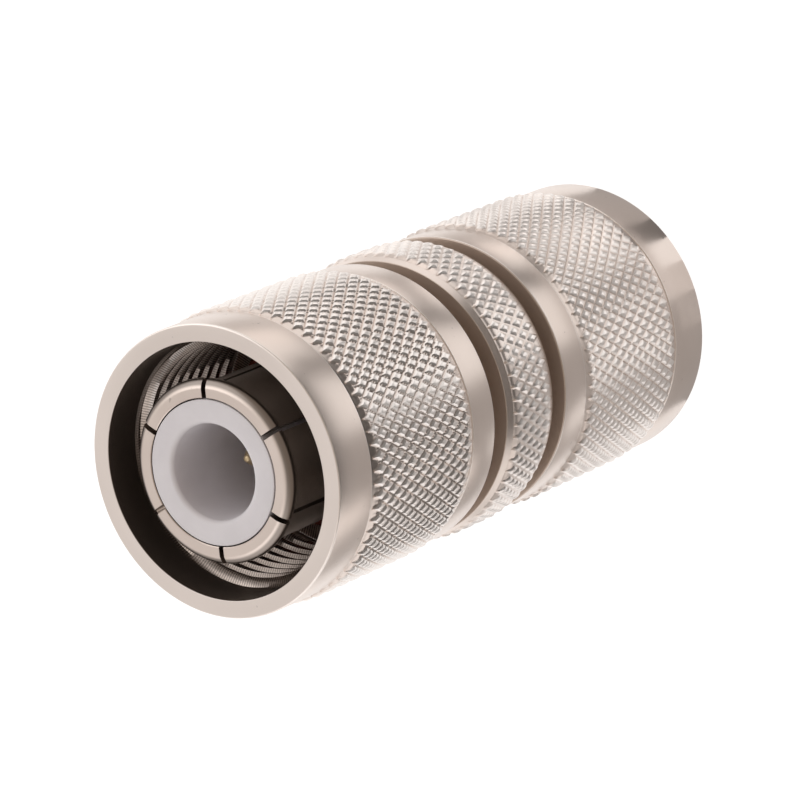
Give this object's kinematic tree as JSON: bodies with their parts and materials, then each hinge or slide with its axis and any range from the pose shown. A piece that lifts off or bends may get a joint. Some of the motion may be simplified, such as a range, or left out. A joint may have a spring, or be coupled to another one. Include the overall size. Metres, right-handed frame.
{
  "type": "coaxial barrel adapter",
  "caption": "Double-ended coaxial adapter: a knurled barrel with a screw coupling nut, slotted spring contact, white insulator and gold pin at each end.",
  "frame": {"origin": "middle of the lower end, on the surface the adapter stands on", "axes": "+Z along the connector's axis, from one coupling nut's mouth to the other's; +X through one of the spring contact's slots"},
  "size_m": [0.0224, 0.0224, 0.0503],
  "materials": {
    "nickel": "satin nickel plate over turned brass",
    "contact_nickel": "polished nickel plate over spring bronze",
    "spring_steel": "plain spring steel",
    "gasket_rubber": "matt moulded silicone rubber",
    "white_insulator": "waxy machined fluoropolymer",
    "gold": "gold plate over brass"
  },
  "bodies": {
    "barrel": {"body_shell": "nickel", "centre_contact": "gold", "upper_outer_contact": "contact_nickel", "lower_outer_contact": "contact_nickel", "upper_insulator": "white_insulator", "lower_insulator": "white_insulator", "upper_gasket": "gasket_rubber", "lower_gasket": "gasket_rubber"},
    "upper_ring": {"upper_snap_ring": "spring_steel"},
    "upper_nut": {"upper_coupling_nut": "nickel"},
    "lower_ring": {"lower_snap_ring": "spring_steel"},
    "lower_nut": {"lower_coupling_nut": "nickel"}
  },
  "joints": [
    {"name": "upper_nut_float", "type": "slide", "parent": "barrel", "child": "upper_ring", "axis": [0, 0, 1], "range_m": [0, 0.0004]},
    {"name": "upper_nut_spin", "type": "hinge", "parent": "upper_ring", "child": "upper_nut", "pos_m": [0, 0, 0.04], "axis": [0, 0, 1], "continuous": true},
    {"name": "lower_nut_float", "type": "slide", "parent": "barrel", "child": "lower_ring", "axis": [0, 0, -1], "range_m": [0, 0.0004]},
    {"name": "lower_nut_spin", "type": "hinge", "parent": "lower_ring", "child": "lower_nut", "pos_m": [0, 0, 0.01], "axis": [0, 0, -1], "continuous": true}
  ]
}
